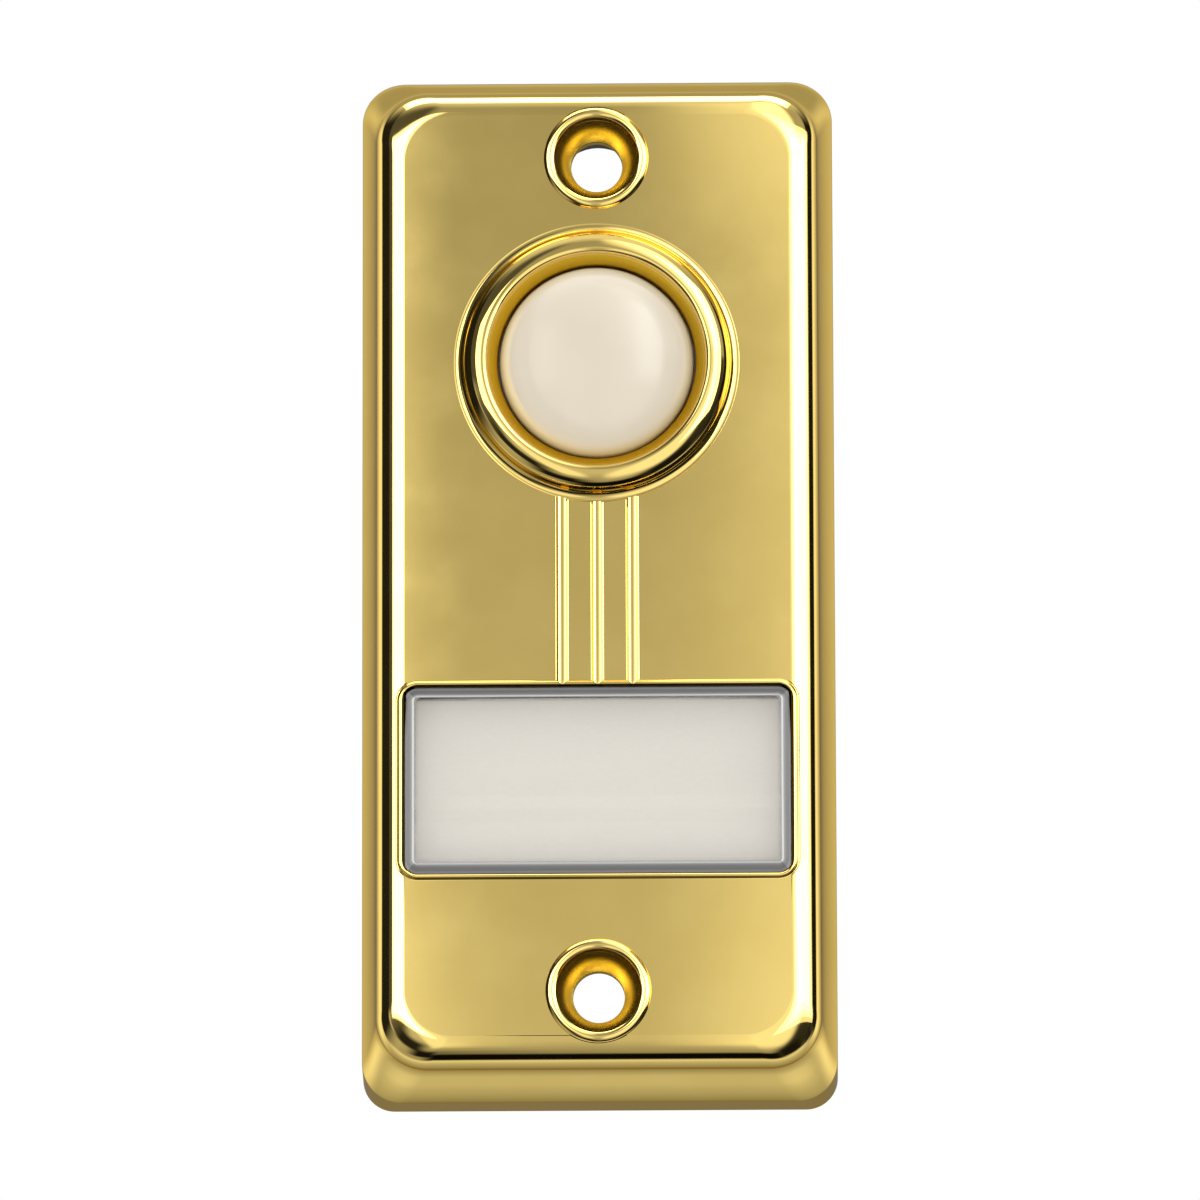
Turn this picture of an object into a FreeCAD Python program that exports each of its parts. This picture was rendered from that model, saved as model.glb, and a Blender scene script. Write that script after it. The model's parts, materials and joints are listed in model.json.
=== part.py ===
import FreeCAD, Part
import math
import os

# A doorbell push: a cast brass cover with a turned ring, an ivory push button, a name window and
# a moulded back that carries the switch. Millimetres, X across the plate and Z up. The wall is the
# plane Y = 0 and the front faces -Y. Heights above the face and depths behind it are turned into
# Y by the function front().

# Cover: outline on the wall, drafted walls, crease and round front edge
cover_width = 46.1
cover_height = 101.6
cover_depth = 12.95
cover_wall = 1.2
land_depth = 4.8
land_corner = 4.0
side_draft = 1.53
end_draft = 2.32
crease_corner = 5.0
crease_band = 0.12
edge_radius = 2.8

# Dished screw places
screw_spacing = 82.55
screw_hole = 5.0
cup_mouth = 8.2
cup_depth = 3.65
cup_floor = 1.0
cup_wall = 1.2
rim_width = 1.0
rim_rise = 0.35
screw_sight = 1.7

# Ring and its nut
ring_z = 20.8
ring_width = 26.0
foot_width = 27.8
foot_edge = 0.12
cove_rise = 0.45
crest_rise = 2.04
flank_radius = 2.0
flank_turn = 72.0
lip_radius = 0.6
mouth_turn = 17.0
cone_drop = 1.167
shank_wall = 0.9
shank_end = 0.6
shank_gap = 0.12
nut_inset = 0.3
nut_thick = 2.0
nut_notch = 3.0
nut_notch_depth = 1.2

# Push button, contact ring and spring
button_width = 18.9
button_gap = 0.2
button_edge = 2.5
dome_radius = 26.0
dome_round = 4.0
button_bore_depth = 2.6
button_travel = 1.2
stop_gap = 0.1
flange_lip = 0.7
flange_thick = 1.0
flange_gap = 0.3
cap_wall = 2.1
cap_roof = 3.0
spigot_width = 3.2
spigot_gap = 0.3
spigot_reach = 2.0
contact_ring_width = 19.2
contact_ring_thick = 0.4
collar_wall = 0.3
collar_gap = 0.05
collar_rise = 1.5
spring_width = 7.7
spring_wire = 0.5
spring_turns = 5
spring_steps = 14
spring_sides = 8
spring_gap = 0.05

# Ribs on the face and the lip round the window
rib_pitch = 3.41
rib_count = 3
rib_width = 0.87
rib_rise = 0.42
rib_cove = 0.24
rib_end_gap = 0.05
lip_width = 0.38
lip_rise = 0.35
lip_cove = 0.2

# Name window
window_top = -11.35
window_side = 4.25
window_height = 18.4
window_corner = 1.4
window_gap = 0.12
window_rise = 0.3
bevel_width = 1.08
bevel_depth = 0.7
tongue_reach = 1.0
tongue_thick = 1.0
tongue_inset = 1.2
card_thick = 0.3
card_margin = 0.25
sheet_thick = 0.5
sheet_fold = 1.5

# Moulded back with its posts, pads and pockets
base_thick = 2.0
base_gap = 0.25
tube_wall = 1.3
tube_gap = 0.05
guide_wall = 1.2
contact_x = 8.2
pad_margin = 0.5
pad_top = 3.0
pad_foot = 12.0
terminal_z = 0.5
terminal_pocket = 7.6
terminal_floor = 1.9
pocket_depth = 3.9
block_wall = 1.0
pillar_width = 3.0
pillar_x = 14.0
pillar_z = 6.4

# Contact strips, contact points and rivets
strip_width = 3.6
strip_thick = 0.5
strip_end = 2.2
strip_rise_run = 2.4
point_width = 2.0
point_rise = 0.4
point_gap = 0.1
rivet_z = 8.0
rivet_width = 1.2
rivet_head = 2.2
rivet_rise = 0.3
rivet_recess = 0.9

# Terminal screws, washers and base screws
terminal_thread = 2.4
terminal_head = 4.6
terminal_head_rise = 1.5
terminal_end = 1.1
washer_width = 5.6
washer_thick = 0.5
washer_lip = 0.3
slot_width = 0.6
slot_depth = 0.5
base_screw_inset = 6.25
base_screw_clear = 0.3
base_screw_thread = 2.0
base_screw_head = 4.0
base_screw_head_rise = 0.9
base_screw_reach = 5.0
base_screw_recess = 1.2
post_width = 4.8
hole_gap = 0.1

# A little depth by which one body is let into another before they are joined
weld = 0.3
# How far a cutting shape runs past the surface that it cuts
past = 1.0

# Worked-out levels
ring_radius = ring_width / 2
flank_end = math.radians(flank_turn)
lip_end = math.radians(90 - mouth_turn)
crest_radius = ring_radius - flank_radius * math.sin(flank_end)
mouth_radius = crest_radius - lip_radius * math.sin(lip_end)
mouth_rise = crest_rise - lip_radius * (1 - math.cos(lip_end))
button_radius = button_width / 2
bore_radius = button_radius + button_gap
flange_radius = button_radius + flange_lip
recess_radius = flange_radius + flange_gap
shank_radius = recess_radius + shank_wall
bore_top = mouth_rise - cone_drop
window_width = cover_width - 2 * window_side
window_z = window_top - window_height / 2
block_size = terminal_pocket + 2 * block_wall
base_screw_x = cover_width / 2 - base_screw_inset
base_screw_z = terminal_z - block_size / 2 - post_width / 2 - base_screw_clear


def front(rise):
    # Y of a point that stands this far out from the cover's face
    return -cover_depth - rise


under_face = front(-cover_wall)
crease_y = front(-edge_radius - crease_band)
shoulder_y = front(bore_top - button_bore_depth)
nut_back = under_face + nut_thick
flange_front = shoulder_y + stop_gap
flange_back = flange_front + flange_thick
contact_ring_back = flange_back + contact_ring_thick
point_front = contact_ring_back + button_travel + point_gap
strip_front = point_front + point_rise
pad_front = strip_front + strip_thick
block_front = -pocket_depth - terminal_floor
dome_drop = dome_radius - math.sqrt(dome_radius ** 2 - button_radius ** 2)
dome_top = front(button_edge + dome_drop)
cap_ceiling = dome_top + cap_roof
cavity_radius = button_radius - cap_wall
cup_under = front(-cup_depth - cup_floor)
cup_radius = cup_mouth / 2 + cup_wall
tongue_back = under_face + tongue_thick
card_back = tongue_back + card_thick
sheet_back = card_back + sheet_thick
guide_bore = spigot_width / 2 + spigot_gap
guide_radius = guide_bore + guide_wall
guide_front = pad_front
spigot_end = guide_front + spigot_reach


def vec(x, y, z):
    return FreeCAD.Vector(x, y, z)


def outline(width, height, corner, y, z_mid=0.0):
    # Rounded rectangle on the plane Y = y, as four arcs joined by four straight runs
    edges = []
    ends = []
    for k, (side_x, side_z) in enumerate(((1, 1), (-1, 1), (-1, -1), (1, -1))):
        mid_x = side_x * (width / 2 - corner)
        mid_z = z_mid + side_z * (height / 2 - corner)
        points = []
        for part_turn in (0, 45, 90):
            angle = math.radians(90 * k + part_turn)
            points.append(vec(mid_x + corner * math.cos(angle), y, mid_z + corner * math.sin(angle)))
        ends.append((points[0], points[2]))
        edges.append(Part.Arc(*points).toShape())
    runs = [Part.makeLine(ends[k][1], ends[(k + 1) % 4][0]) for k in range(4)]
    ordered = [edge for pair in zip(edges, runs) for edge in pair]
    return Part.Wire(ordered)


def block(width, height, corner, y_back, y_front, z_mid=0.0):
    face = Part.Face(outline(width, height, corner, y_back, z_mid))
    return face.extrude(vec(0, y_front - y_back, 0))


def box(x_mid, z_mid, width, height, y_back, y_front):
    low = min(y_back, y_front)
    corner = vec(x_mid - width / 2, low, z_mid - height / 2)
    return Part.makeBox(width, abs(y_back - y_front), height, corner)


def rod(x, z, radius, y_back, y_front):
    low = min(y_back, y_front)
    return Part.makeCylinder(radius, abs(y_back - y_front), vec(x, low, z), vec(0, 1, 0))


def profile(points, place):
    # Closed wire through the points. A step is a point, or a middle and an end for an arc.
    edges = []
    here = points[0]
    for step in points[1:] + [points[0]]:
        if isinstance(step[0], tuple):
            edges.append(Part.Arc(place(*here), place(*step[0]), place(*step[1])).toShape())
            here = step[1]
        else:
            edges.append(Part.makeLine(place(*here), place(*step)))
            here = step
    return Part.Wire(edges)


def turned(points, x, z):
    # Solid of revolution about the line through x and z along Y. Points are (radius, Y).
    face = Part.Face(profile(points, lambda radius, y: vec(x + radius, y, z)))
    return face.revolve(vec(x, 0, z), vec(0, 1, 0), 360)


def joined(shapes):
    result = shapes[0].multiFuse(shapes[1:])
    return result.removeSplitter()


def front_edges(shape, y):
    return [edge for edge in shape.Edges if abs(edge.BoundBox.YMin - y) + abs(edge.BoundBox.YMax - y) < 1e-6]


def cover_form(inset, y_back):
    # The cover's solid form, pulled in by inset: land, drafted walls and a front with a round edge
    wide = cover_width - 2 * inset
    high = cover_height - 2 * inset
    crease_wide = wide - 2 * side_draft
    crease_high = high - 2 * end_draft
    face_y = front(-inset)
    land = block(wide, high, land_corner - inset, y_back, -land_depth)
    wall_back = outline(wide, high, land_corner - inset, -land_depth)
    wall_front = outline(crease_wide, crease_high, crease_corner - inset, crease_y)
    walls = Part.makeLoft([wall_back, wall_front], True, True)
    pillow = block(crease_wide, crease_high, crease_corner - inset, crease_y, face_y)
    pillow = pillow.makeFillet(edge_radius - inset, front_edges(pillow, face_y))
    return joined([land, walls, pillow])


def bead_points(width, rise, cove, root):
    # Half-round bead with a hollow foot on each side. Points are (across, rise above the face).
    half = width / 2
    foot = half + cove
    shoulder = rise * 0.4
    hollow = (half + cove * 0.3, shoulder * 0.3)
    return [
        (-foot, -root),
        (-foot, 0.0),
        ((-hollow[0], hollow[1]), (-half, shoulder)),
        ((0.0, rise), (half, shoulder)),
        ((hollow[0], hollow[1]), (foot, 0.0)),
        (foot, -root),
    ]


def rib(x):
    # A rib runs down the face from the ring's foot and ends round on the window's lip
    points = bead_points(rib_width, rib_rise, rib_cove, weld)
    z_low = window_z + window_height / 2 + window_gap + lip_width
    z_high = ring_z
    start = profile(points, lambda across, rise: vec(x + across, front(rise), z_low))
    bar = Part.Face(start).extrude(vec(0, 0, z_high - z_low))
    half_points = [(0.0, -weld), (0.0, rib_rise)]
    half_points.append(((rib_width * 0.28, rib_rise * 0.84), (rib_width / 2, rib_rise * 0.4)))
    half_points.append(((points[4][0][0], points[4][0][1]), points[4][1]))
    half_points.append(points[5])
    nose = turned([(half_points[0][0], front(half_points[0][1])), (half_points[1][0], front(half_points[1][1])),
                   tuple((across, front(rise)) for across, rise in half_points[2]),
                   tuple((across, front(rise)) for across, rise in half_points[3]),
                   (half_points[4][0], front(half_points[4][1]))], x, z_low)
    whole = bar.fuse(nose)
    clear = rod(0, ring_z, foot_width / 2 + rib_end_gap, front(-past), front(past))
    return whole.cut(clear)


def window_lip():
    # A bead carried round the window's opening, with a hollow foot on its outer side
    wide = window_width + 2 * window_gap
    high = window_height + 2 * window_gap
    corner = window_corner + window_gap
    path = outline(wide, high, corner, front(0), window_z)
    crest = lip_width * 0.45
    inner = -weld / 2
    points = [
        (inner, -weld),
        (inner, lip_rise * 0.85),
        ((crest, lip_rise), (lip_width, lip_rise * 0.4)),
        ((lip_width + lip_cove * 0.3, lip_rise * 0.12), (lip_width + lip_cove, 0.0)),
        (lip_width + lip_cove, -weld),
    ]
    z_start = window_z + high / 2 - corner
    section = profile(points, lambda across, rise: vec(wide / 2 + across, front(rise), z_start))
    return path.makePipeShell([section], True, True)


def screw_rim(z):
    # Round bead at the mouth of the dish
    inner = cup_mouth / 2 - rim_width * 0.15
    outer = cup_mouth / 2 + rim_width
    middle = (inner + outer) / 2
    return turned([(inner, front(-weld)), (inner, front(0)), ((middle, front(rim_rise)), (outer, front(0))),
                   (outer, front(-weld))], 0, z)


def screw_dish(z):
    # The hollow of the dish, an arc that steepens from the hole's edge to the mouth
    mouth = cup_mouth / 2
    hole = screw_hole / 2
    belly = (mouth - (mouth - hole) * 0.26, front(-cup_depth * 0.66))
    top = front(rim_rise + past)
    return turned([(0, top), (mouth, top), (mouth, front(0)), (belly, (hole, front(-cup_depth))),
                   (0, front(-cup_depth))], 0, z)


def front_cover():
    shell = cover_form(0.0, 0.0).cut(cover_form(cover_wall, past))
    added = [shell, window_lip()]
    screw_places = (screw_spacing / 2, -screw_spacing / 2)
    for z in screw_places:
        added.append(rod(0, z, cup_radius, front(-weld), cup_under))
        added.append(screw_rim(z))
    for k in range(rib_count):
        added.append(rib((k - (rib_count - 1) / 2) * rib_pitch))
    for side in (-1, 1):
        added.append(rod(side * base_screw_x, base_screw_z, post_width / 2, front(-weld), -base_thick))
    cover = joined(added)
    wide = window_width + 2 * window_gap
    high = window_height + 2 * window_gap
    cuts = [
        rod(0, ring_z, shank_radius + shank_gap, front(past), under_face + past),
        block(wide, high, window_corner + window_gap, tongue_back + past / 2, front(past), window_z),
    ]
    for z in screw_places:
        cuts.append(screw_dish(z))
        cuts.append(rod(0, z, screw_hole / 2, front(-cup_depth + past / 2), cup_under + past))
    pilot_radius = base_screw_thread / 2 + hole_gap / 2
    pilot_end = -base_thick - base_screw_reach - past
    for side in (-1, 1):
        cuts.append(rod(side * base_screw_x, base_screw_z, pilot_radius, -base_thick + past / 2, pilot_end))
    for cut in cuts:
        cover = cover.cut(cut)
    return cover


def bezel_ring():
    # Turned ring: thin foot, hollow, rounded flank up to a crest near the mouth, lip, cone down to the
    # button, and a shank with a recess
    foot = foot_width / 2
    end = nut_back + shank_end
    hollow = (ring_radius + (foot - ring_radius) * 0.3, front(foot_edge + cove_rise * 0.3))

    def crest_arc(radius, bend):
        # Point on a rounding that starts at the crest: outwards for a bend above 0, inwards below
        return (crest_radius + radius * math.sin(bend), front(crest_rise - radius * (1 - math.cos(bend))))

    return turned([
        (recess_radius, end),
        (shank_radius, end),
        (shank_radius, front(0)),
        (foot, front(0)),
        (foot, front(foot_edge)),
        (hollow, (ring_radius, front(foot_edge + cove_rise))),
        crest_arc(flank_radius, flank_end),
        (crest_arc(flank_radius, flank_end / 2), crest_arc(flank_radius, 0)),
        (crest_arc(lip_radius, -lip_end / 2), (mouth_radius, front(mouth_rise))),
        (bore_radius, front(bore_top)),
        (bore_radius, shoulder_y),
        (recess_radius, shoulder_y),
    ], 0, ring_z)


def bezel_nut():
    # Thin round nut behind the face, with two notches for the key
    outer = foot_width / 2 - nut_inset
    nut = rod(0, ring_z, outer, under_face, nut_back)
    nut = nut.cut(rod(0, ring_z, shank_radius + shank_gap, under_face - past, nut_back + past))
    for side in (-1, 1):
        mid = side * (outer - nut_notch_depth + past)
        nut = nut.cut(box(mid, ring_z, 2 * past, nut_notch, under_face - past, nut_back + past))
    return nut


def push_button():
    # Domed cap with a stop flange, hollow behind, and a spigot that slides in the back's guide
    mid_radius = button_radius / 2
    mid_drop = dome_radius - math.sqrt(dome_radius ** 2 - mid_radius ** 2)
    cap = turned([
        (0, dome_top),
        ((mid_radius, dome_top + mid_drop), (button_radius, front(button_edge))),
        (button_radius, flange_front),
        (flange_radius, flange_front),
        (flange_radius, flange_back),
        (cavity_radius, flange_back),
        (cavity_radius, cap_ceiling),
        (spigot_width / 2, cap_ceiling),
        (spigot_width / 2, spigot_end),
        (0, spigot_end),
    ], 0, ring_z)
    rim = [edge for edge in front_edges(cap, front(button_edge)) if edge.Length > button_radius * math.pi]
    return cap.makeFillet(dome_round, rim)


def contact_ring():
    # Bronze ring under the button's flange, with a collar that grips inside the cap
    outside = cavity_radius - collar_gap
    inside = outside - collar_wall
    top = flange_back - collar_rise
    return turned([
        (inside, contact_ring_back),
        (contact_ring_width / 2, contact_ring_back),
        (contact_ring_width / 2, flange_back),
        (outside, flange_back),
        (outside, top),
        (inside, top),
    ], 0, ring_z)


def return_spring():
    # Helix along Y between the back's floor and the cap's ceiling, skinned over even-sided sections
    y_back = -base_thick - spring_gap
    y_front = cap_ceiling + spring_gap
    wire_radius = spring_wire / 2
    mean = spring_width / 2 - wire_radius
    length = y_back - y_front - spring_wire
    sections = []
    for step in range(spring_turns * spring_steps + 1):
        angle = 2 * math.pi * step / spring_steps
        y = y_back - wire_radius - length * step / (spring_turns * spring_steps)
        points = []
        for side in range(spring_sides + 1):
            around = 2 * math.pi * side / spring_sides
            radius = mean + wire_radius * math.cos(around)
            points.append(vec(radius * math.cos(angle), y + wire_radius * math.sin(around),
                              ring_z + radius * math.sin(angle)))
        sections.append(Part.makePolygon(points))
    return Part.makeLoft(sections, True, True)


def base_plate():
    wide = cover_width - 2 * cover_wall - 2 * base_gap
    high = cover_height - 2 * cover_wall - 2 * base_gap
    added = [block(wide, high, land_corner - cover_wall - base_gap, 0, -base_thick)]
    root = -base_thick + weld
    screw_places = (screw_spacing / 2, -screw_spacing / 2)
    sight_radius = screw_hole / 2 + screw_sight
    for z in screw_places:
        added.append(rod(0, z, sight_radius + tube_wall, root, cup_under + tube_gap))
    added.append(rod(0, ring_z, guide_radius, root, guide_front))
    pad_wide = strip_width + 2 * pad_margin
    pad_mid = ring_z + (pad_top - pad_foot) / 2
    for side in (-1, 1):
        added.append(box(side * contact_x, terminal_z, block_size, block_size, root, block_front))
        added.append(box(side * contact_x, pad_mid, pad_wide, pad_top + pad_foot, root, pad_front))
        for level in (-1, 1):
            added.append(rod(side * pillar_x, window_z + level * pillar_z, pillar_width / 2, root, sheet_back))
    base = joined(added)
    cuts = [rod(0, ring_z, guide_bore, -base_thick, guide_front - past)]
    for z in screw_places:
        cuts.append(rod(0, z, sight_radius, past, cup_under - past))
    for side in (-1, 1):
        x = side * contact_x
        cuts.append(box(x, terminal_z, terminal_pocket, terminal_pocket, past, -pocket_depth))
        cuts.append(rod(x, terminal_z, terminal_thread / 2 + hole_gap, 0, block_front - past))
        cuts.append(rod(x, ring_z - rivet_z, rivet_width / 2 + hole_gap, past, pad_front - past))
        cuts.append(rod(x, ring_z - rivet_z, rivet_head / 2 + hole_gap, past, -rivet_recess))
        cuts.append(rod(x, ring_z, rivet_width / 2 + hole_gap, pad_front + point_rise + hole_gap, pad_front - past))
        screw_x = side * base_screw_x
        cuts.append(rod(screw_x, base_screw_z, base_screw_thread / 2 + hole_gap, past, -base_thick - past))
        cuts.append(rod(screw_x, base_screw_z, base_screw_head / 2 + hole_gap, past, -base_screw_recess))
    for cut in cuts:
        base = base.cut(cut)
    return base


def contact_strip(side):
    # Bent strip from the terminal, up on to the pad and along it to the contact point
    low = terminal_z - terminal_pocket / 2
    bend = terminal_z + terminal_pocket / 2 + block_wall
    rise_end = bend + strip_rise_run
    top = ring_z + strip_end
    t = strip_thick
    points = [(low, block_front), (bend, block_front), (rise_end, pad_front), (top, pad_front),
              (top, pad_front - t), (rise_end - t / 2, pad_front - t), (bend - t / 2, block_front - t),
              (low, block_front - t)]
    x_low = side * contact_x - strip_width / 2
    face = Part.Face(profile(points, lambda z, y: vec(x_low, y, z)))
    strip = face.extrude(vec(strip_width, 0, 0))
    x = side * contact_x
    strip = strip.cut(rod(x, terminal_z, terminal_thread / 2 + hole_gap / 2, 0, block_front - past))
    for z in (ring_z, ring_z - rivet_z):
        strip = strip.cut(rod(x, z, rivet_width / 2 + hole_gap, 0, strip_front - past))
    return strip


def contact_point(side):
    # Silver rivet on the strip under the contact ring
    head = point_width / 2
    stem = rivet_width / 2
    return turned([(0, point_front), (head * 0.6, point_front), ((head * 0.9, point_front + point_rise * 0.3),
                  (head, strip_front)), (stem, strip_front), (stem, pad_front + point_rise),
                  (0, pad_front + point_rise)], side * contact_x, ring_z)


def strip_rivet(side):
    # Rivet through strip, pad and back, with its closed end in a recess of the back
    head = rivet_head / 2
    stem = rivet_width / 2
    seat = -rivet_recess
    return turned([(0, strip_front - rivet_rise), (head * 0.5, strip_front - rivet_rise),
                   ((head * 0.85, strip_front - rivet_rise * 0.7), (head, strip_front)), (stem, strip_front),
                   (stem, seat), (head, seat), (head, seat + rivet_rise), (0, seat + rivet_rise)],
                  side * contact_x, ring_z - rivet_z)


def slotted_screw(x, z, thread, head, rise, seat, tip):
    # Pan-head screw whose head lies on the wall side of its seat
    head_radius = head / 2
    stem = thread / 2
    crown = seat + rise
    screw = turned([(0, crown), (head_radius * 0.6, crown), ((head_radius * 0.9, seat + rise * 0.72),
                   (head_radius, seat + rise * 0.3)), (head_radius, seat), (stem, seat), (stem, tip + stem * 0.6),
                   (stem * 0.4, tip), (0, tip)], x, z)
    return screw.cut(box(x, z, head + past, slot_width, crown - slot_depth, crown + past))


def terminal_screw(side):
    seat = -pocket_depth + washer_thick
    tip = block_front - strip_thick - terminal_end
    return slotted_screw(side * contact_x, terminal_z, terminal_thread, terminal_head, terminal_head_rise, seat, tip)


def terminal_washer(side):
    # Cup washer with a turned-up edge that keeps the wire under the head
    outer = washer_width / 2
    inner = terminal_thread / 2 + hole_gap
    seat = -pocket_depth
    top = seat + washer_thick
    edge = terminal_head / 2 + hole_gap
    return turned([(inner, seat), (outer, seat), (outer, top + washer_lip), (edge, top + washer_lip), (edge, top),
                   (inner, top)], side * contact_x, terminal_z)


def base_screw(side):
    tip = -base_thick - base_screw_reach
    return slotted_screw(side * base_screw_x, base_screw_z, base_screw_thread, base_screw_head,
                         base_screw_head_rise, -base_screw_recess, tip)


def name_window():
    # Clear lens: bevelled front, straight edge in the opening, a tongue above and below behind the face
    low = front(window_rise - bevel_depth)
    top = front(window_rise)
    body = block(window_width, window_height, window_corner, tongue_back, low, window_z)
    bevel_back = outline(window_width, window_height, window_corner, low, window_z)
    bevel_front = outline(window_width - 2 * bevel_width, window_height - 2 * bevel_width,
                          window_corner - bevel_width * 0.6, top, window_z)
    bevel = Part.makeLoft([bevel_back, bevel_front], True, True)
    tongue = box(0, window_z, window_width - 2 * tongue_inset, window_height + 2 * tongue_reach, tongue_back,
                 under_face)
    return joined([body, bevel, tongue])


def name_card():
    wide = window_width - 2 * card_margin
    high = window_height - 2 * card_margin
    return box(0, window_z, wide, high, card_back, tongue_back)


def window_retainer():
    # Sheet behind the card, folded back along its upper and lower edges
    wide = window_width - 2 * tongue_inset
    high = window_height + 2 * tongue_reach
    web = box(0, window_z, wide, high, sheet_back, card_back)
    folds = [box(0, window_z + side * (high - sheet_thick) / 2, wide, sheet_thick, sheet_back + sheet_fold, card_back)
             for side in (-1, 1)]
    return joined([web] + folds)


def main():
    os.makedirs("parts", exist_ok=True)
    shapes = {
        "front_cover": front_cover(),
        "bezel_ring": bezel_ring(),
        "bezel_nut": bezel_nut(),
        "push_button": push_button(),
        "contact_ring": contact_ring(),
        "return_spring": return_spring(),
        "base_plate": base_plate(),
        "name_window": name_window(),
        "name_card": name_card(),
        "window_retainer": window_retainer(),
    }
    for side, word in ((-1, "left"), (1, "right")):
        shapes["contact_strip_" + word] = contact_strip(side)
        shapes["contact_point_" + word] = contact_point(side)
        shapes["strip_rivet_" + word] = strip_rivet(side)
        shapes["terminal_screw_" + word] = terminal_screw(side)
        shapes["terminal_washer_" + word] = terminal_washer(side)
        shapes["base_screw_" + word] = base_screw(side)
    for node, shape in shapes.items():
        shape.exportStep("parts/" + node + ".step")
        solids = len(shape.Solids)
        print(node, "solids", solids, "volume", round(shape.Volume, 2), "valid", shape.isValid())


main()
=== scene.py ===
import json
import math

import bmesh
import bpy
import numpy as np
from mathutils import Matrix, Vector
from mathutils.geometry import tessellate_polygon


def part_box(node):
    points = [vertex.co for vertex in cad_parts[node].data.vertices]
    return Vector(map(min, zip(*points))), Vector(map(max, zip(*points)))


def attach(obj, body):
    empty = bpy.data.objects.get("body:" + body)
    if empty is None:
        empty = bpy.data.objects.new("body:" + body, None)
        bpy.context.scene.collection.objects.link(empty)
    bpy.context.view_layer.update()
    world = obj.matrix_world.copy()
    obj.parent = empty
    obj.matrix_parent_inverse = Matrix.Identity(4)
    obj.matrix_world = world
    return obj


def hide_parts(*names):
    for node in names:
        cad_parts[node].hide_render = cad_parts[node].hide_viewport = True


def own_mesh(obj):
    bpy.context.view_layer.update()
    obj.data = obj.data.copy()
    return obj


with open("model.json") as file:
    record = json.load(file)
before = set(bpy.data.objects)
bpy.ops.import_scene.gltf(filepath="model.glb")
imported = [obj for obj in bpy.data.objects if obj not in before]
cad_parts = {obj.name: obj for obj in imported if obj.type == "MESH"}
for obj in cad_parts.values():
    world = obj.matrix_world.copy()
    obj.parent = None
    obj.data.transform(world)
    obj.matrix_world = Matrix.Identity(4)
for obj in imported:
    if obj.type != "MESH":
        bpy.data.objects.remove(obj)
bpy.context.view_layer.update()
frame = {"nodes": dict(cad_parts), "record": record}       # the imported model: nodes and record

# An upright brass doorbell push: a cast cover with a turned ring, an ivory button, three ribs, a name
# window and two dished screw places, round the imported model. Lengths in the dictionaries are
# millimetres. The front faces -Y, and a height above the cover's face becomes a Y in front().

mm = 0.001
mergeWithin = 2e-7      # metres, for points that should be one
coverLow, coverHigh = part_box("front_cover")


# Shapes on a grid

def arc(centreA, centreB, radius, startDegrees, endDegrees, steps):
    # Points (a, b) on a circle: a = centreA + radius cos t, b = centreB + radius sin t
    t = np.radians(np.linspace(startDegrees, endDegrees, steps + 1))
    return np.column_stack([centreA + radius * np.cos(t), centreB + radius * np.sin(t)])


def bend(start, through, end, steps):
    # Circle through three points, from the first to the last
    (ax, ay), (bx, by), (cx, cy) = start, through, end
    twice = 2 * (ax * (by - cy) + bx * (cy - ay) + cx * (ay - by))
    squares = [ax * ax + ay * ay, bx * bx + by * by, cx * cx + cy * cy]
    midX = (squares[0] * (by - cy) + squares[1] * (cy - ay) + squares[2] * (ay - by)) / twice
    midY = (squares[0] * (cx - bx) + squares[1] * (ax - cx) + squares[2] * (bx - ax)) / twice
    first = math.atan2(ay - midY, ax - midX)
    middle = (math.atan2(by - midY, bx - midX) - first) % (2 * math.pi)
    last = (math.atan2(cy - midY, cx - midX) - first) % (2 * math.pi)
    if last < middle:
        last -= 2 * math.pi
    t = first + np.linspace(0, last, steps + 1)
    radius = math.hypot(ax - midX, ay - midY)
    return np.column_stack([midX + radius * np.cos(t), midY + radius * np.sin(t)])


def path(*parts):
    # Profile points from single points and runs of points, without repeats
    points = np.vstack([np.atleast_2d(np.asarray(part, float)) for part in parts])
    keep = np.r_[True, np.linalg.norm(np.diff(points, axis=0), axis=1) > 1e-7]
    return points[keep]


def turnedGrid(profile, centreX, centreZ, steps):
    # x = centreX + r cos t, y = y, z = centreZ + r sin t, for each (r, y) of the profile and each turn t
    t = np.linspace(0, 2 * math.pi, steps, endpoint=False)
    r, y = profile[:, 0:1], profile[:, 1:2]
    return np.stack([centreX + r * np.cos(t), y + 0 * t, centreZ + r * np.sin(t)], axis=2)


def roundedGrid(rows, centreZ, cornerSteps, runSteps):
    # Rounded rectangles: x = sx (w - c) + c cos t, z = centreZ + sz (h - c) + c sin t, for each row's half
    # width w, half height h, corner c and y. Round a corner t turns; along a run sx or sz slides.
    corners = ((1, 1), (-1, 1), (-1, -1), (1, -1))
    sx, sz, turn = [], [], []
    for k, (sideX, sideZ) in enumerate(corners):
        nextX, nextZ = corners[(k + 1) % 4]
        slide = np.arange(1, runSteps) / runSteps
        sx.append(np.r_[np.full(cornerSteps + 1, sideX), sideX + (nextX - sideX) * slide])
        sz.append(np.r_[np.full(cornerSteps + 1, sideZ), sideZ + (nextZ - sideZ) * slide])
        turn.append(np.linspace(90 * k, 90 * (k + 1), cornerSteps + 1))
        turn.append(np.full(runSteps - 1, 90 * (k + 1)))
    sx, sz, turn = np.concatenate(sx), np.concatenate(sz), np.radians(np.concatenate(turn))
    w, h, c, y = (rows[:, k:k + 1] for k in range(4))
    x = sx * (w - c) + c * np.cos(turn)
    z = centreZ + sz * (h - c) + c * np.sin(turn)
    return np.stack([x, y + 0 * x, z], axis=2)


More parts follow.
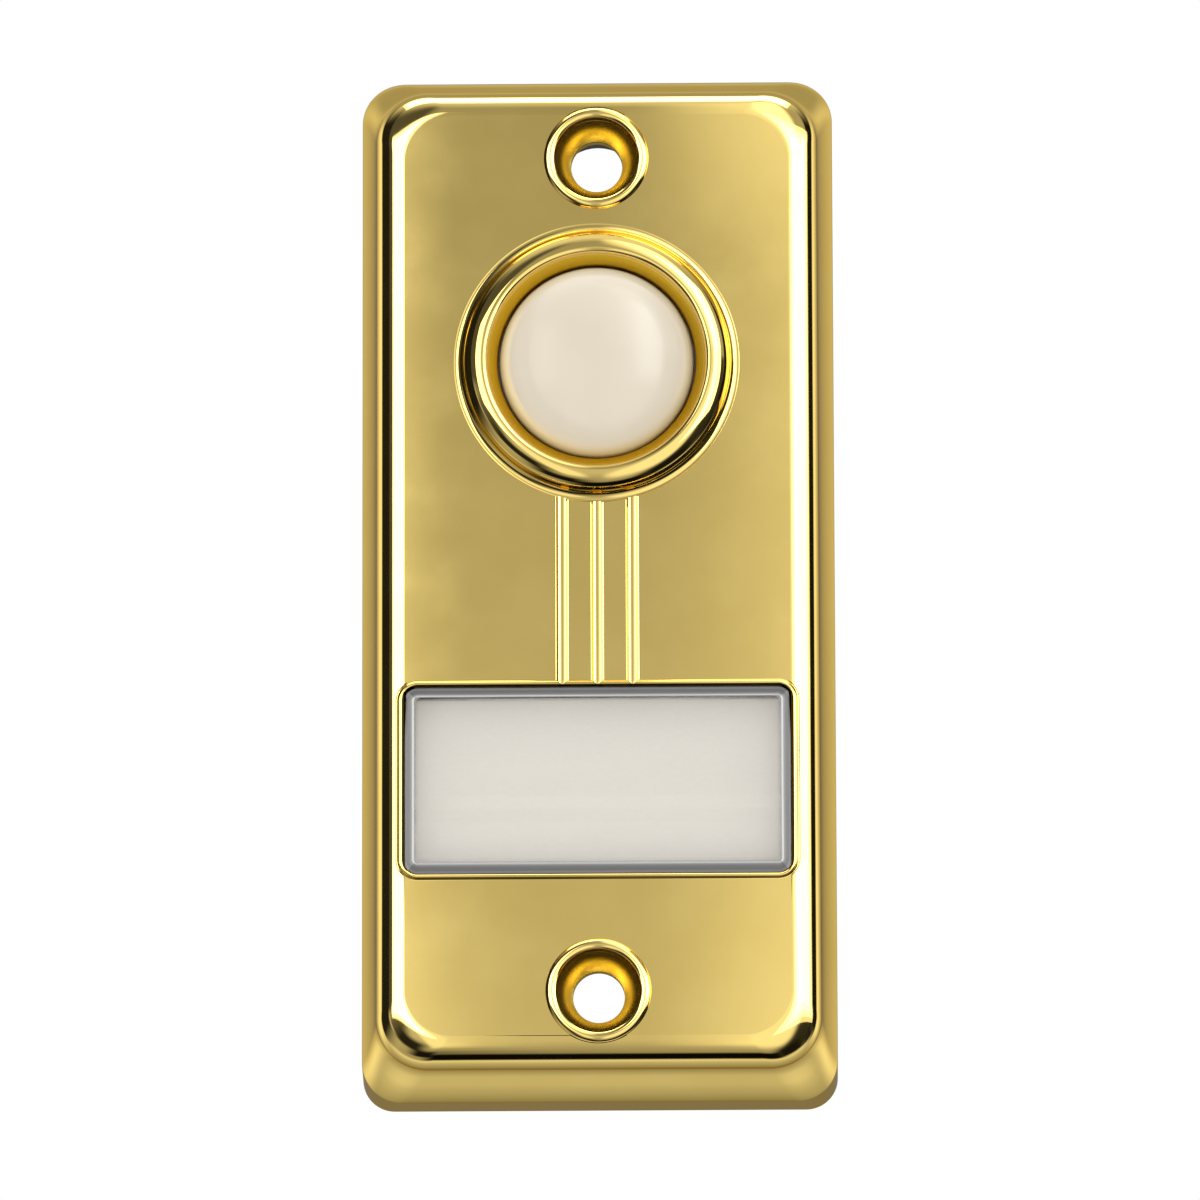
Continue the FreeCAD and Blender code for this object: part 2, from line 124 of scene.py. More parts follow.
def gridFaces(rowCount, columnCount, start, closedRows, closedColumns):
    # Four corners of each cell of a grid whose points are numbered row by row from start
    i = np.arange(rowCount if closedRows else rowCount - 1)[:, None]
    j = np.arange(columnCount if closedColumns else columnCount - 1)[None, :]
    below, beside = (i + 1) % rowCount, (j + 1) % columnCount
    cells = np.stack([i * columnCount + j, i * columnCount + beside, below * columnCount + beside,
                      below * columnCount + j], axis=2)
    return cells.reshape(-1, 4) + start


class Skin:
    # Gathers grids and flat faces, in millimetres, and makes them one closed mesh
    def __init__(self):
        self.points = []
        self.faces = []
        self.count = 0

    def addGrid(self, grid, closedRows=False, closedColumns=True):
        rowCount, columnCount = grid.shape[:2]
        self.faces += gridFaces(rowCount, columnCount, self.count, closedRows, closedColumns).tolist()
        self.points.append(grid.reshape(-1, 3))
        self.count += rowCount * columnCount
        return grid

    def addFlat(self, *loops, axes=(0, 2)):
        # Flat face between an outer loop and the loops of its holes, seen along the third axis
        flat = [[Vector((p[axes[0]], p[axes[1]], 0)) for p in loop] for loop in loops]
        triangles = tessellate_polygon(flat)
        self.faces += [[corner + self.count for corner in triangle] for triangle in triangles]
        self.points.append(np.vstack(loops))
        self.count += sum(len(loop) for loop in loops)

    def build(self, name, material, sharpDegrees=12.0):
        mesh = bpy.data.meshes.new(name)
        mesh.from_pydata((np.vstack(self.points) * mm).tolist(), [], self.faces)
        work = bmesh.new()
        work.from_mesh(mesh)
        bmesh.ops.remove_doubles(work, verts=work.verts, dist=mergeWithin)
        bmesh.ops.dissolve_degenerate(work, edges=work.edges, dist=1e-8)
        bmesh.ops.recalc_face_normals(work, faces=work.faces)
        work.to_mesh(mesh)
        work.free()
        mesh.shade_smooth()
        mesh.set_sharp_from_angle(angle=math.radians(sharpDegrees))
        mesh.materials.append(material)
        piece = bpy.data.objects.new(name, mesh)
        bpy.context.scene.collection.objects.link(piece)
        return piece


# Cover

cover = {
    "wide": (coverHigh.x - coverLow.x) / mm,     # at the wall
    "high": (coverHigh.z - coverLow.z) / mm,
    "deep": 12.95,          # wall to face
    "wall": 1.2,
    "landDepth": 4.8,
    "landCorner": 4.0,
    "rimCorner": 3.1,       # at the wall
    "landRound": 0.15,
    "sideDraft": 1.53,
    "endDraft": 2.32,
    "sideSlopes": (1.45, 1.2, 0.95, 0.55),              # wall's slope from land to crease, 1 for a straight one
    "endSlopes": (0.3, 0.75, 1.15, 1.45, 1.45, 0.5),
    "creaseCorner": 5.0,
    "creaseBand": 0.12,
    "edgeRound": 2.8,
    "faceCorner": 4.6,
    "cornerSteps": 24,
    "runSteps": 10,
    "edgeSteps": 32,
    "wallSteps": 24,
}
support = 0.06      # a narrow flat row beside each curve, so that the flat face mirrors as a flat


def front(rise):
    return -cover["deep"] - rise


def drawnIn(slopes, depth):
    # Share of the draft reached at each share of the depth, from slopes at even steps between land and crease
    fine = np.linspace(0, 1, 201)
    slope = np.interp(fine, np.linspace(0, 1, len(slopes)), slopes)
    total = np.r_[0, np.cumsum(slope[1:] + slope[:-1])]
    return np.interp(depth, fine, total / total[-1])


def outlineRow(inset, y, depth):
    # Half width, half height, corner and y of the plate's outline, pulled in by inset. Depth 0 is the
    # outline at the land and 1 the one at the crease. Past the crease the corner widens towards the face.
    w = cover["wide"] / 2 - drawnIn(cover["sideSlopes"], depth) * cover["sideDraft"]
    h = cover["high"] / 2 - drawnIn(cover["endSlopes"], depth) * cover["endDraft"]
    corner = cover["landCorner"] + depth * (cover["creaseCorner"] - cover["landCorner"])
    if depth < 1:
        return np.array([w - inset, h - inset, corner - inset, y])
    corner += (cover["faceCorner"] - cover["creaseCorner"]) * inset / cover["edgeRound"]
    return np.array([w - inset, h - inset, corner, y])


def rimRow(inset, y):
    # The outline at the wall, whose corners are a little tighter than the land's
    row = outlineRow(inset, y, 0)
    row[2] = cover["rimCorner"] - inset
    return row


def drawCoverEdge(skin):
    # Rim, land, drafted walls, crease and round edge: outline rows carried round the plate, from the
    # inner side of the face back to the wall and out again. Returns the outlines of both flat faces.
    wall, r, soft = cover["wall"], cover["edgeRound"], cover["landRound"]
    landY, creaseY = -cover["landDepth"], front(-r - cover["creaseBand"])
    turns = np.linspace(0, math.pi / 2, cover["edgeSteps"] + 1)
    rows = [outlineRow(r + support, front(-wall), 1)]
    rows += [outlineRow(wall + (r - wall) * (1 - math.cos(t)), front(-r + (r - wall) * math.sin(t)), 1)
             for t in turns[::-3]]
    rows += [outlineRow(wall, landY, 0), outlineRow(wall, 0, 0)]
    rows += [rimRow(soft, 0), rimRow(0, -soft)]
    landEdge = outlineRow(0, landY, 0)
    share = soft / (landY - creaseY)
    ends = (outlineRow(0, landY + soft, 0), landEdge, outlineRow(0, landY - soft, share))
    rows += [(1 - t) ** 2 * ends[0] + 2 * t * (1 - t) * ends[1] + t * t * ends[2] for t in np.linspace(0, 1, 7)]
    depths = np.linspace(share, 1, cover["wallSteps"])[1:]
    rows += [outlineRow(0, landY + (creaseY - landY) * t, t) for t in depths]
    rows += [outlineRow(r * (1 - math.cos(t)), front(-r + r * math.sin(t)), 1) for t in turns]
    rows += [outlineRow(r + support, front(0), 1)]
    grid = skin.addGrid(roundedGrid(np.array(rows), 0, cover["cornerSteps"], cover["runSteps"]))
    return grid[-1], grid[0]


# Screw places, window opening, ring hole and posts: holes that join the face to its inner side

screwPlace = {
    "spacing": 82.55,
    "hole": 5.0,
    "mouth": 8.2,
    "depth": 3.65,
    "floor": 1.0,
    "cupWall": 1.2,
    "rimWide": 1.0,
    "rimRise": 0.35,
    "steps": 96,
}

opening = {
    "top": -11.35,          # of the lens, from the plate's middle
    "side": 4.25,           # from the plate's side to the lens
    "high": 18.4,
    "corner": 1.4,
    "gap": 0.12,
    "lipWide": 0.38,
    "lipRise": 0.35,
    "lipCove": 0.2,
    "cornerSteps": 12,
    "runSteps": 12,
}
lensWide = cover["wide"] - 2 * opening["side"]
lensZ = opening["top"] - opening["high"] / 2

ring = {
    "z": 20.8,
    "wide": 26.0,
    "foot": 27.8,
    "footEdge": 0.12,
    "coveRise": 0.45,
    "crestRise": 2.04,
    "flankRadius": 2.0,
    "flankTurn": 72.0,
    "lipRadius": 0.6,
    "mouthTurn": 17.0,
    "coneDrop": 1.167,
    "mouthRound": 0.12,
    "bore": 19.3,
    "shoulderDrop": 2.6,
    "recess": 20.9,
    "shank": 22.7,
    "shankGap": 0.12,
    "shankEnd": 2.6,
    "steps": 160,
}

post = {"x": 16.8, "z": -7.0, "wide": 4.8, "end": -2.0, "pilot": 2.1, "pilotEnd": -8.0, "steps": 32}


def drawScrewPlace(skin, z):
    # Round bead, dish that steepens to the hole, hole, and the cup's outer side under the face
    mouth, hole, rimWide = screwPlace["mouth"] / 2, screwPlace["hole"] / 2, screwPlace["rimWide"]
    deep, rise = screwPlace["depth"], screwPlace["rimRise"]
    inner, outer = mouth - rimWide * 0.15, mouth + rimWide
    belly = (mouth - (mouth - hole) * 0.26, front(-deep * 0.66))
    under = front(-deep - screwPlace["floor"])
    cup = mouth + screwPlace["cupWall"]
    bead = bend((outer, front(0)), ((inner + outer) / 2, front(rise)), (inner, front(0)), 24)
    bead = bead[bead[:, 0] > mouth + 0.02]
    dish = bend((mouth, front(-0.05)), belly, (hole, front(-deep)), 28)
    edge = 0.1
    profile = path((outer + support, front(0)), bead, dish[:-1], (hole + edge * 0.3, front(-deep + edge * 0.2)),
                   (hole, front(-deep - edge)), (hole, under), (cup, under), (cup, front(-cover["wall"])),
                   (cup + support, front(-cover["wall"])))
    grid = skin.addGrid(turnedGrid(profile, 0, z, screwPlace["steps"]))
    return grid[0], grid[-1]


def drawOpening(skin):
    # Bead with a hollow foot round the window, then the straight wall of the opening
    wide, rise, cove = opening["lipWide"], opening["lipRise"], opening["lipCove"]
    hollow = bend((wide + cove, 0), (wide + cove * 0.3, rise * 0.12), (wide, rise * 0.4), 6)
    bead = bend((wide, rise * 0.4), (wide * 0.45, rise), (0, rise * 0.75), 12)
    profile = path((wide + cove + support, 0), hollow, bead, (0, rise * 0.4), (0, -cover["wall"]),
                   (support, -cover["wall"]))
    w, h = lensWide / 2 + opening["gap"], opening["high"] / 2 + opening["gap"]
    corner = opening["corner"] + opening["gap"]
    rows = np.column_stack([w + profile[:, 0], h + profile[:, 0], corner + profile[:, 0], front(profile[:, 1])])
    grid = skin.addGrid(roundedGrid(rows, lensZ, opening["cornerSteps"], opening["runSteps"]))
    return grid[0], grid[-1]


def drawRingHole(skin):
    r = ring["shank"] / 2 + ring["shankGap"]
    profile = path((r + support, front(0)), (r, front(0)), (r, front(-cover["wall"])),
                   (r + support, front(-cover["wall"])))
    grid = skin.addGrid(turnedGrid(profile, 0, ring["z"], ring["steps"]))
    return grid[0], grid[-1]


def drawPost(skin, side):
    # Post under the face for a screw of the back, with its blind pilot hole
    r, pilot = post["wide"] / 2, post["pilot"] / 2
    root = front(-cover["wall"])
    profile = path((r + support, root), (r, root), (r, post["end"]), (pilot, post["end"]),
                   (pilot, post["pilotEnd"]), (0, post["pilotEnd"]))
    grid = skin.addGrid(turnedGrid(profile, side * post["x"], post["z"], post["steps"]))
    return grid[0]


# Ribs

rib = {
    "pitch": 3.41,
    "count": 3,
    "wide": 0.87,
    "rise": 0.42,
    "crown": 0.16,          # share of the bead's rise that its top falls by, from the middle to the sides
    "cove": 0.24,
    "root": 0.3,
    "endGap": 0.02,
    "noseSteps": 24,
    "sideSteps": 12,
}


def drawRib(skin, x):
    # Half a bead's profile (across, rise) carried down one side, round the nose and up the other:
    # x = middle + across cos t, z = nose - across sin t, with t 0 or 180 degrees along the two sides.
    # With u the share of the half width, height = rise (0.4 + 0.6 (1 - crown u u) sqrt(1 - u^12)).
    # The upper end follows the ring's foot, a circle round the ring's middle.
    half, cove, rise = rib["wide"] / 2, rib["cove"], rib["rise"]
    hollow = bend((half + cove, 0), (half + cove * 0.3, rise * 0.12), (half, rise * 0.4), 6)
    u = np.sin(np.linspace(math.pi / 2, 0, 25))
    swell = (1 - rib["crown"] * u ** 2) * np.sqrt(1 - u ** 12)
    bead = np.column_stack([half * u, rise * (0.4 + 0.6 * swell)])
    profile = path((half + cove, -rib["root"]), hollow, bead)
    noseZ = opening["top"] + opening["gap"] + opening["lipWide"]
    t = np.linspace(0, math.pi, rib["noseSteps"] + 1)
    across, height = profile[:, 0:1], profile[:, 1:2]
    noseEnd = np.maximum(noseZ - across * np.sin(t), opening["top"] + opening["gap"])
    nose = np.stack([x + across * np.cos(t), front(height) + 0 * t, noseEnd], axis=2)
    reach = ring["foot"] / 2 + rib["endGap"]
    sides = []
    for column in (nose[:, :1], nose[:, -1:]):
        topZ = ring["z"] - np.sqrt(reach ** 2 - column[..., 0] ** 2)
        side = np.repeat(column, rib["sideSteps"] + 1, axis=1)
        side[..., 2] = noseZ + (topZ - noseZ) * np.linspace(0, 1, rib["sideSteps"] + 1)[None, :]
        sides.append(side)
    whole = np.concatenate([sides[0][:, ::-1], nose[:, 1:-1], sides[1]], axis=1)
    skin.addGrid(whole, closedColumns=False)
    skin.addFlat(whole[0])
    skin.addFlat(np.concatenate([whole[:, 0], whole[:-1, -1][::-1]]), axes=(0, 1))


def makeCover(material):
    skin = Skin()
    faceLoops, innerLoops = [], []
    loops = [drawCoverEdge(skin), drawRingHole(skin), drawOpening(skin)]
    loops += [drawScrewPlace(skin, side * screwPlace["spacing"] / 2) for side in (1, -1)]
    for faceLoop, innerLoop in loops:
        faceLoops.append(faceLoop)
        innerLoops.append(innerLoop)
    innerLoops += [drawPost(skin, side) for side in (-1, 1)]
    skin.addFlat(*faceLoops)
    skin.addFlat(*innerLoops)
    for k in range(rib["count"]):
        drawRib(skin, (k - (rib["count"] - 1) / 2) * rib["pitch"])
    piece = skin.build("cover", material)
    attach(piece, "housing")
    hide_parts("front_cover")
    return piece


# Ring: foot, hollow, rounded flank up to a crest near the mouth, lip, cone down to the button, and a shank
# with a recess for the flange

def makeRing(material):
    foot, outer, crest = ring["foot"] / 2, ring["wide"] / 2, ring["crestRise"]
    crestRadius = outer - ring["flankRadius"] * math.sin(math.radians(ring["flankTurn"]))
    flank = arc(crestRadius, crest - ring["flankRadius"], ring["flankRadius"], 90 - ring["flankTurn"], 90, 40)
    lip = arc(crestRadius, crest - ring["lipRadius"], ring["lipRadius"], 90, 180 - ring["mouthTurn"], 24)
    mouth = tuple(lip[-1])
    bore, boreTop = ring["bore"] / 2, mouth[1] - ring["coneDrop"]
    shoulder = boreTop - ring["shoulderDrop"]
    recess, shank, end = ring["recess"] / 2, ring["shank"] / 2, -cover["wall"] - ring["shankEnd"]
    edge, rise = ring["footEdge"], ring["coveRise"]
    hollow = bend((foot, edge), (outer + (foot - outer) * 0.3, edge + rise * 0.3), (outer, edge + rise), 12)
    cone = np.array([mouth, (bore, boreTop)])
    along = (cone[1] - cone[0]) / np.linalg.norm(cone[1] - cone[0])
    soft = ring["mouthRound"]
    profile = path((recess, end), (shank, end), (shank, 0), (foot - 0.04, 0), (foot, 0.04), hollow,
                   flank, lip, cone[0] + along * soft, cone[1] - along * soft,
                   (bore, boreTop - soft), (bore, shoulder), (recess, shoulder))
    profile[:, 1] = front(profile[:, 1])
    skin = Skin()
    skin.addGrid(turnedGrid(profile, 0, ring["z"], ring["steps"]), closedRows=True)
    piece = skin.build("ring", material)
    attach(piece, "housing")
    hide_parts("bezel_ring")
    return piece


# Push button: domed cap with a soft edge and a stop flange, hollow behind, and the spigot in its guide

button = {
    "wide": 18.9,
    "edge": 2.5,            # where dome and side would meet, above the face
    "dome": 26.0,
    "edgeRound": 4.0,
    "flangeWide": 20.3,
    "flangeThick": 1.0,
    "flangeFront": -2.252,
    "capWall": 2.1,
    "capRoof": 3.0,
    "spigot": 3.2,
    "steps": 160,
}


def makeButton(material):
    _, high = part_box("push_button")
    r, dome, soft = button["wide"] / 2, button["dome"], button["edgeRound"]
    # The edge's arc has its middle at (r - soft, edgeMid) and touches the dome from inside
    domeMid = button["edge"] - math.sqrt(dome ** 2 - r ** 2)
    edgeMid = domeMid + math.sqrt((dome - soft) ** 2 - (r - soft) ** 2)
    lean = math.degrees(math.atan2(edgeMid - domeMid, r - soft))
    top = domeMid + dome
    flangeBack = button["flangeFront"] - button["flangeThick"]
    ceiling, cavity, spigot = top - button["capRoof"], r - button["capWall"], button["spigot"] / 2
    spigotEnd = -cover["deep"] - high.y / mm
    profile = path(arc(0, domeMid, dome, 90, lean, 32), arc(r - soft, edgeMid, soft, lean, 0, 32),
                   (r, button["flangeFront"]), (button["flangeWide"] / 2, button["flangeFront"]),
                   (button["flangeWide"] / 2, flangeBack), (cavity, flangeBack), (cavity, ceiling),
                   (spigot, ceiling), (spigot, spigotEnd), (0, spigotEnd))
    profile[:, 1] = front(profile[:, 1])
    skin = Skin()
    skin.addGrid(turnedGrid(profile, 0, ring["z"], button["steps"]))
    piece = skin.build("button_cap", material)
    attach(piece, "button")
    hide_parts("push_button")
    return piece


# Return spring: the imported coil, merged and smooth shaded

def makeSpring(material):
    source = frame["nodes"]["return_spring"]
    mesh = source.data.copy()
    mesh.transform(source.matrix_world)
    work = bmesh.new()
    work.from_mesh(mesh)
    bmesh.ops.remove_doubles(work, verts=work.verts, dist=mergeWithin)
    work.to_mesh(mesh)
    work.free()
    mesh.shade_smooth()
    mesh.set_sharp_from_angle(angle=math.radians(40))
    mesh.materials.clear()
    mesh.materials.append(material)
    piece = bpy.data.objects.new("spring", mesh)
    bpy.context.scene.collection.objects.link(piece)
    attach(piece, "housing")
    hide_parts("return_spring")
    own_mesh(piece)
    return piece


# Name window: a clear lens with a mitred bevel, and a tongue above and below behind the face

lens = {
    "rise": 0.3,
    "bevelWide": 1.08,
    "bevelDeep": 0.7,
    "tongueReach": 1.0,
    "tongueThick": 1.0,
    "tongueInset": 1.2,
    "edgeSoft": 0.05,
    # Painted grey of the bevel, standing in for its reflections and shade, and how clear the lens is, by the
    # distance in from its edge
    "paintedBevelGreys": ((0.0, 0.25), (0.05, 0.50), (0.14, 0.52), (0.24, 0.46), (0.32, 0.30), (0.40, 0.25), (0.60, 0.22),
              (0.72, 0.26), (0.84, 0.34), (0.92, 0.60), (1.02, 0.60), (1.09, 0.45), (1.16, 0.85), (1.50, 1.0)),
    "clear": ((0.0, 0.0), (0.95, 0.0), (1.12, 1.0), (1.3, 1.0)),
    "paintedSideShade": (1.0, 1.6),        # painted shade: factor on the grey above and below the card, and on the lighter grey beside it
}


def makeLens(material):
    # Outline rows from the flat front over the bevel and straight back. Behind the face the columns
    # between the insets step out to the tongue's height.
    w, h, corner = lensWide / 2, opening["high"] / 2, opening["corner"]
    rise, across, soft = lens["rise"], lens["bevelWide"], lens["edgeSoft"]
    low, innerCorner = rise - lens["bevelDeep"], corner - across * 0.6
    slope = lens["bevelDeep"] / across
    face, back = -cover["wall"], -cover["wall"] - lens["tongueThick"]
    rows = np.array([
        (w - across - 3 * soft, h - across - 3 * soft, innerCorner - soft, rise),
        (w - across - soft, h - across - soft, innerCorner - soft, rise),
        (w - across + soft, h - across + soft, innerCorner, rise - soft * slope),
        (w - soft, h - soft, corner - soft, low + soft * slope),
        (w, h, corner, low - soft),
        (w, h, corner, face),
        (w, h, corner, face),
        (w, h, corner, back),
    ])
    rows[:, 3] = front(rows[:, 3])
    grid = roundedGrid(rows, lensZ, opening["cornerSteps"], opening["runSteps"])
    tongue = np.abs(grid[6, :, 0]) <= w - lens["tongueInset"]
    above = np.sign(grid[6, tongue, 2] - lensZ)
    grid[6:, tongue, 2] = lensZ + above * (h + lens["tongueReach"])
    skin = Skin()
    skin.addGrid(grid)
    skin.addFlat(grid[0])
    skin.addFlat(grid[-1])
    piece = skin.build("lens", material, 5.0)
    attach(piece, "housing")
    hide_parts("name_window")
    piece.visible_shadow = piece.visible_diffuse = False        # so that light reaches the card behind it
    return piece


# Materials

def newMaterial(name, **values):
    # Principled shader with its constant values set on its own sockets
    material = bpy.data.materials.new(name)
    material.use_nodes = True
    shader = material.node_tree.nodes["Principled BSDF"]
    for socket, value in values.items():
        shader.inputs[socket.replace("_", " ")].default_value = value
    return material, material.node_tree, shader


def place(tree):
    # Coordinates on the object, in metres
    return tree.nodes.new("ShaderNodeTexCoord").outputs["Object"]


def stretched(tree, vector, scale):
    mapping = tree.nodes.new("ShaderNodeMapping")
    mapping.inputs["Scale"].default_value = scale
    tree.links.new(vector, mapping.inputs["Vector"])
    return mapping.outputs["Vector"]


def noise(tree, vector, scale, detail=2.0, roughness=0.5):
    node = tree.nodes.new("ShaderNodeTexNoise")
    node.inputs["Scale"].default_value = scale
    node.inputs["Detail"].default_value = detail
    node.inputs["Roughness"].default_value = roughness
    tree.links.new(vector, node.inputs["Vector"])
    return node.outputs["Fac"]


def math2(tree, operation, *values):
    node = tree.nodes.new("ShaderNodeMath")
    node.operation = operation
    for socket, value in zip(node.inputs, values):
        if isinstance(value, bpy.types.NodeSocket):
            tree.links.new(value, socket)
        else:
            socket.default_value = value
    return node.outputs[0]


def spread(tree, value, fromRange, toRange, smooth=False):
    node = tree.nodes.new("ShaderNodeMapRange")
    node.interpolation_type = "SMOOTHSTEP" if smooth else "LINEAR"
    names = ("From Min", "From Max", "To Min", "To Max")
    for name, number in zip(names, (*fromRange, *toRange)):
        node.inputs[name].default_value = number
    tree.links.new(value, node.inputs["Value"])
    return node.outputs["Result"]


def tint(tree, factor, dark, light):
    node = tree.nodes.new("ShaderNodeMix")
    node.data_type = "RGBA"
    node.inputs["A"].default_value = (*dark, 1)
    node.inputs["B"].default_value = (*light, 1)
    tree.links.new(factor, node.inputs["Factor"])
    return node.outputs["Result"]


def relief(tree, shader, height, distance):
    node = tree.nodes.new("ShaderNodeBump")
    node.inputs["Distance"].default_value = distance
    node.inputs["Strength"].default_value = 1.0
    tree.links.new(height, node.inputs["Height"])
    tree.links.new(node.outputs["Normal"], shader.inputs["Normal"])


brass = {
    "dark": (0.90, 0.66, 0.19),
    "light": (0.96, 0.73, 0.24),
    "cone": (0.78, 0.56, 0.055),        # inside the ring's mouth, which isn't buffed
    "coneRoughness": 0.22,
    "coneReach": 10.5,
    "dish": (0.78, 0.57, 0.11),          # and inside the screw places
    "dishRoughness": 0.27,
    "recessSoft": 0.12,
    "gap": (0.06, 0.035, 0.006),        # painted shade round the window: the opening's wall drawn near-black for the shaded gap
    "gapShadeReach": 0.03,
    "edge": (0.94, 0.79, 0.50),         # tint of a glancing reflection
    "roughness": (0.035, 0.075),
    "waveScale": 60.0,      # broad unevenness of the buffed casting, per metre
    "waveHeight": 0.000006,
    "crown": 1.0,           # fall of the face to both sides, in metres per square metre
}


def inRecess(tree, x, z, spots):
    # 1 within each spot's radius of its axis, which runs along Y at the spot's height, and 0 outside
    inside = 0.0
    for height, radius in spots:
        off = math2(tree, "SUBTRACT", z, height * mm)
        squares = math2(tree, "ADD", math2(tree, "MULTIPLY", x, x), math2(tree, "MULTIPLY", off, off))
        span = ((radius - brass["recessSoft"]) * mm, radius * mm)
        spot = spread(tree, math2(tree, "SQRT", squares), span, (1, 0), True)
        inside = math2(tree, "MAXIMUM", inside, spot)
    return inside


def fromOutline(tree, x, z, w, h, corner, middleZ):
    # Distance outwards from a rounded rectangle of half sizes w and h, in the units of its numbers:
    # q = (|x| - w + c, |z - middle| - h + c), distance = |max(q, 0)| + min(max(qx, qz), 0) - c
    qx = math2(tree, "SUBTRACT", math2(tree, "ABSOLUTE", x), w - corner)
    qz = math2(tree, "SUBTRACT", math2(tree, "ABSOLUTE", math2(tree, "SUBTRACT", z, middleZ)), h - corner)
    outX, outZ = math2(tree, "MAXIMUM", qx, 0.0), math2(tree, "MAXIMUM", qz, 0.0)
    squares = math2(tree, "ADD", math2(tree, "MULTIPLY", outX, outX), math2(tree, "MULTIPLY", outZ, outZ))
    inner = math2(tree, "MINIMUM", math2(tree, "MAXIMUM", qx, qz), 0.0)
    return math2(tree, "SUBTRACT", math2(tree, "ADD", math2(tree, "SQRT", squares), inner), corner)


def brassMaterial(name, recessColour, recessRoughness, spots, crown=0.0):
    # Height of the surface: broad waves less crown x x, which bends the face's mirror picture as a real
    # casting does
    material, tree, shader = newMaterial(name, Metallic=1.0, Specular_Tint=(*brass["edge"], 1))
    where = place(tree)
    x, _, z = apart(tree, where)
    cloud = noise(tree, where, 180.0, 4.0)
    recess = inRecess(tree, x, z, spots)
    colour = tint(tree, recess, brass["dark"], recessColour)
    tree.links.new(tint(tree, cloud, brass["dark"], brass["light"]), colour.node.inputs["A"])
    # Painted shade: within the gap's reach of the window's outline the colour goes near-black, for the shaded
    # gap round the lens
    if crown:
        out = opening["gap"] + brass["gapShadeReach"]
        w, h, corner = (size * mm + out * mm for size in (lensWide / 2, opening["high"] / 2, opening["corner"]))
        away = fromOutline(tree, x, z, w, h, corner, lensZ * mm)
        shaded = tint(tree, spread(tree, away, (-0.00002, 0.00002), (1, 0)), brass["dark"], brass["gap"])
        tree.links.new(colour, shaded.node.inputs["A"])
        colour = shaded
    tree.links.new(colour, shader.inputs["Base Color"])
    polish = spread(tree, cloud, (0.3, 0.7), brass["roughness"])
    tree.links.new(mixLevel(tree, polish, recessRoughness, recess), shader.inputs["Roughness"])
    height = math2(tree, "MULTIPLY", noise(tree, where, brass["waveScale"], 1.0), brass["waveHeight"])
    if crown:
        fall = math2(tree, "MULTIPLY", math2(tree, "MULTIPLY", x, x), crown)
        height = math2(tree, "SUBTRACT", height, fall)
    relief(tree, shader, height, 1.0)
    return material


# Small metal pieces, by the record's slot
metals = {
    "plated_steel": {"name": "plated steel", "colour": (0.62, 0.62, 0.64), "roughness": 0.25, "grain": 400.0},
    "contact_bronze": {"name": "contact bronze", "colour": (0.62, 0.38, 0.16), "roughness": 0.3, "grain": 500.0},
    "spring_steel": {"name": "spring steel", "colour": (0.42, 0.43, 0.45), "roughness": 0.28, "grain": 500.0},
    "silver_point": {"name": "contact silver", "colour": (0.80, 0.80, 0.78), "roughness": 0.2, "grain": 500.0},
}


def metalMaterial(name, colour, roughness, grain):
    material, tree, shader = newMaterial(name, Metallic=1.0)
    where = place(tree)
    cloud = noise(tree, where, grain, 5.0)
    darker = tuple(c * 0.86 for c in colour)
    tree.links.new(tint(tree, cloud, darker, colour), shader.inputs["Base Color"])
    polish = spread(tree, cloud, (0.3, 0.7), (roughness * 0.8, roughness * 1.3))
    tree.links.new(polish, shader.inputs["Roughness"])
    relief(tree, shader, noise(tree, where, grain * 3, 3.0), 0.00002)
    return material


ivory = {
    "dark": (0.745, 0.662, 0.522),
    "light": (0.765, 0.687, 0.553),
    "cloudScale": 90.0,
    "roughness": (0.13, 0.16),
}
moulded = {
    "dark": (0.020, 0.018, 0.016),
    "light": (0.032, 0.028, 0.025),
    "cloudScale": 120.0,
    "grainScale": 4200.0,
    "grainHeight": 0.00003,
    "roughness": (0.38, 0.55),
}
card = {
    "dark": (0.77, 0.725, 0.65),
    "light": (0.83, 0.79, 0.715),
    "fibreScale": 1500.0,
    "fibreStretch": (1.0, 1.0, 2.2),
    "fibreHeight": 0.00001,
    "roughness": 0.8,
}


def ivoryMaterial():
    material, tree, shader = newMaterial("ivory plastic", IOR=1.49)
    where = place(tree)
    cloud = noise(tree, where, ivory["cloudScale"], 3.0)
    tree.links.new(tint(tree, cloud, ivory["dark"], ivory["light"]), shader.inputs["Base Color"])
    tree.links.new(spread(tree, cloud, (0.3, 0.7), ivory["roughness"]), shader.inputs["Roughness"])
    return material


def mouldedMaterial():
    material, tree, shader = newMaterial("moulded back", IOR=1.5)
    where = place(tree)
    cloud = noise(tree, where, moulded["cloudScale"], 4.0)
    grain = noise(tree, where, moulded["grainScale"], 4.0)
    tree.links.new(tint(tree, cloud, moulded["dark"], moulded["light"]), shader.inputs["Base Color"])
    tree.links.new(spread(tree, grain, (0.3, 0.7), moulded["roughness"]), shader.inputs["Roughness"])
    relief(tree, shader, grain, moulded["grainHeight"])
    return material


def cardMaterial():
    material, tree, shader = newMaterial("plain card", Roughness=card["roughness"])
    where = place(tree)
    fibre = noise(tree, stretched(tree, where, card["fibreStretch"]), card["fibreScale"], 5.0, 0.6)
    tree.links.new(tint(tree, fibre, card["dark"], card["light"]), shader.inputs["Base Color"])
    relief(tree, shader, fibre, card["fibreHeight"])
    return material


